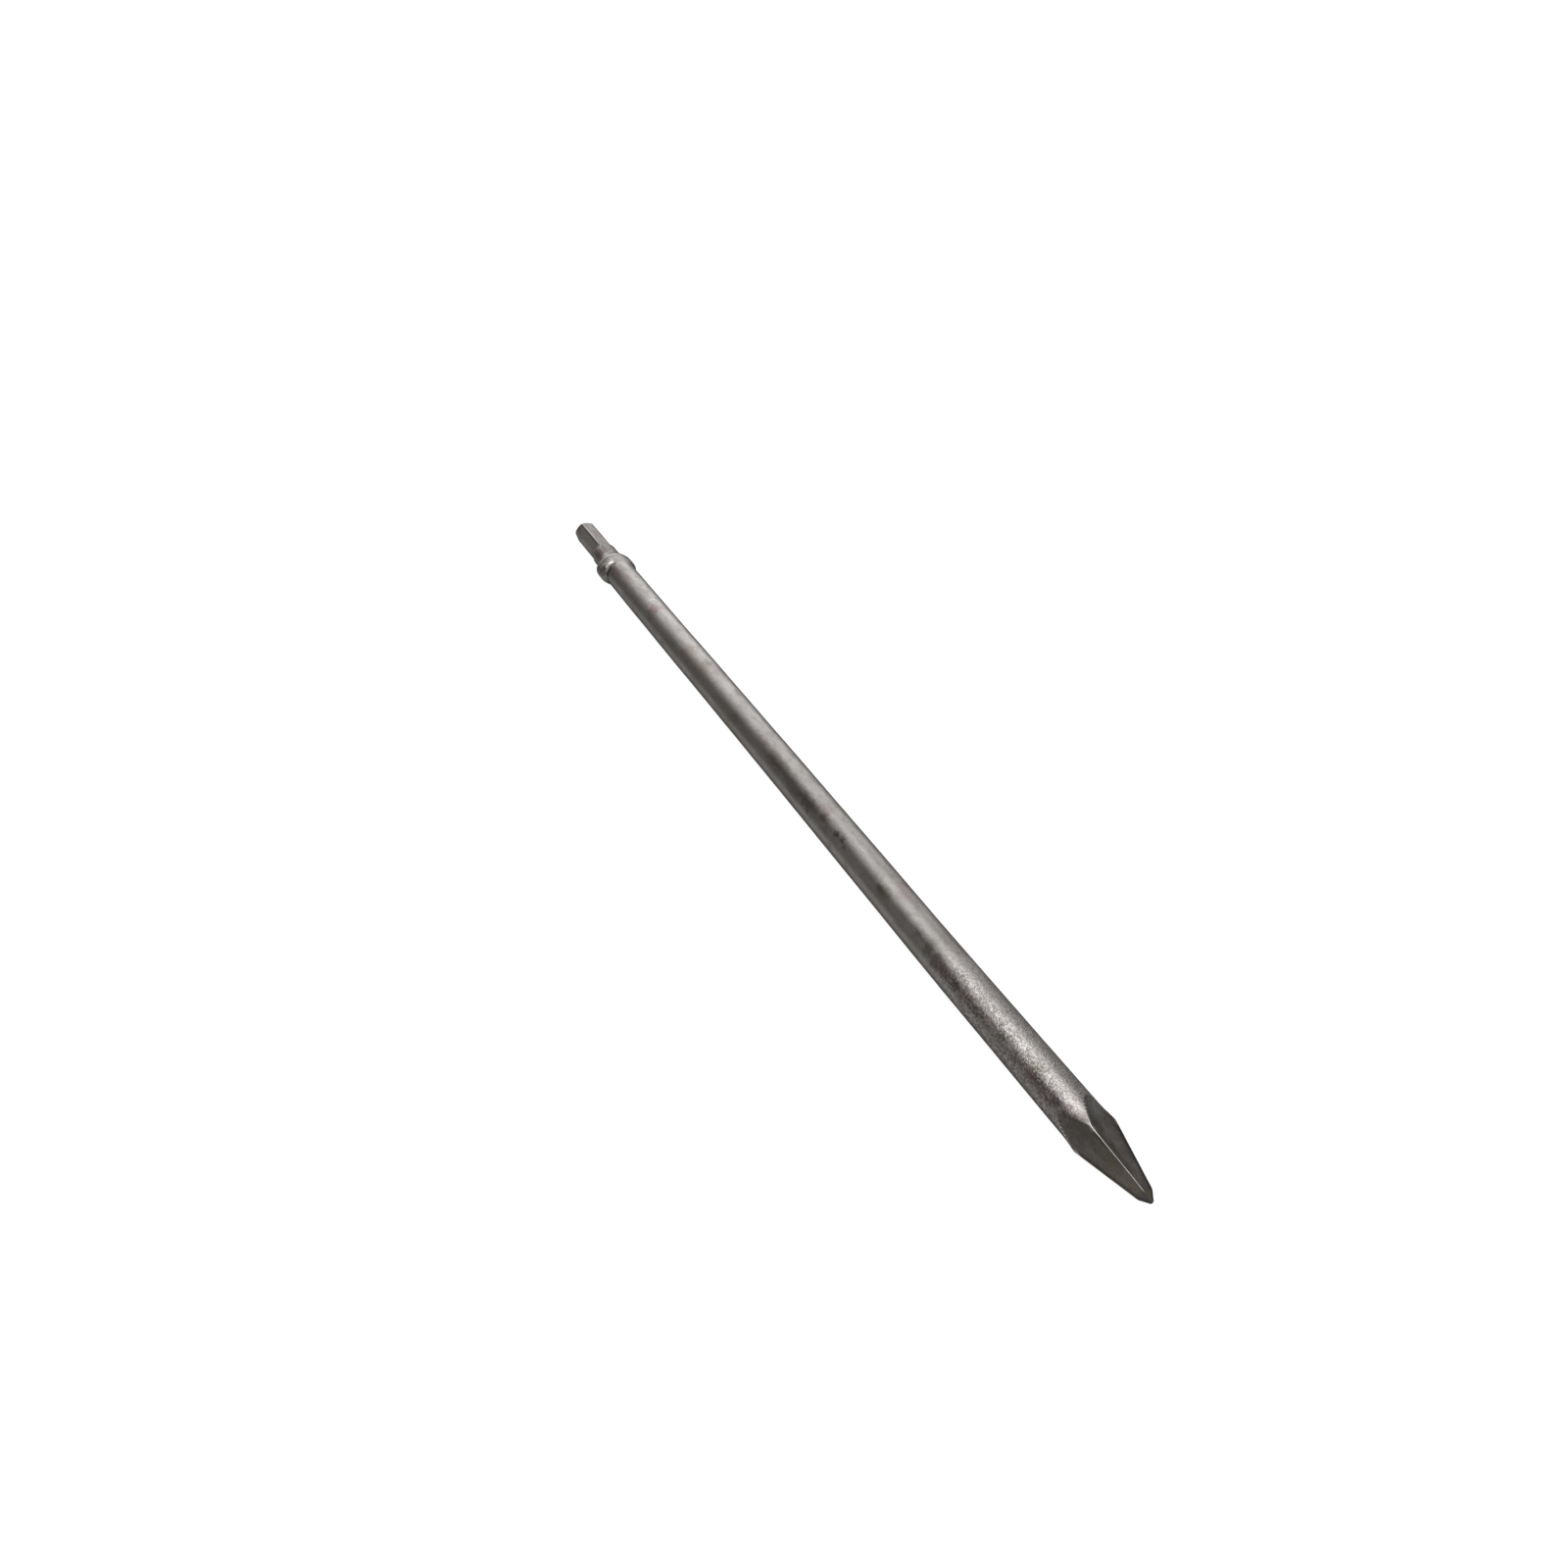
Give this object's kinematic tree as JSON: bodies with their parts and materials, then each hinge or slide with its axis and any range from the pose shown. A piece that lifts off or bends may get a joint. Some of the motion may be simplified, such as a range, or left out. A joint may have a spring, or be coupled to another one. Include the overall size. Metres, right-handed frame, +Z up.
{
  "type": "moil-point chisel",
  "caption": "Forged steel moil-point chisel for a demolition hammer: hexagonal shank, round neck, oval collar, long round bar and a four-sided point.",
  "frame": {"origin": "centre of the flat striking face at the end of the hexagonal shank", "axes": "+X along the tool's axis from the striking face to the point, +Z up with the tool lying on a flat bench, on the collar's low rim and on one corner of the point"},
  "size_m": [0.61, 0.0266, 0.0208],
  "materials": {
    "forged_steel": "satin, forged and fine blasted, with faint brown heat tint"
  },
  "bodies": {
    "root": {"moil_point_chisel": "forged_steel"}
  },
  "joints": []
}
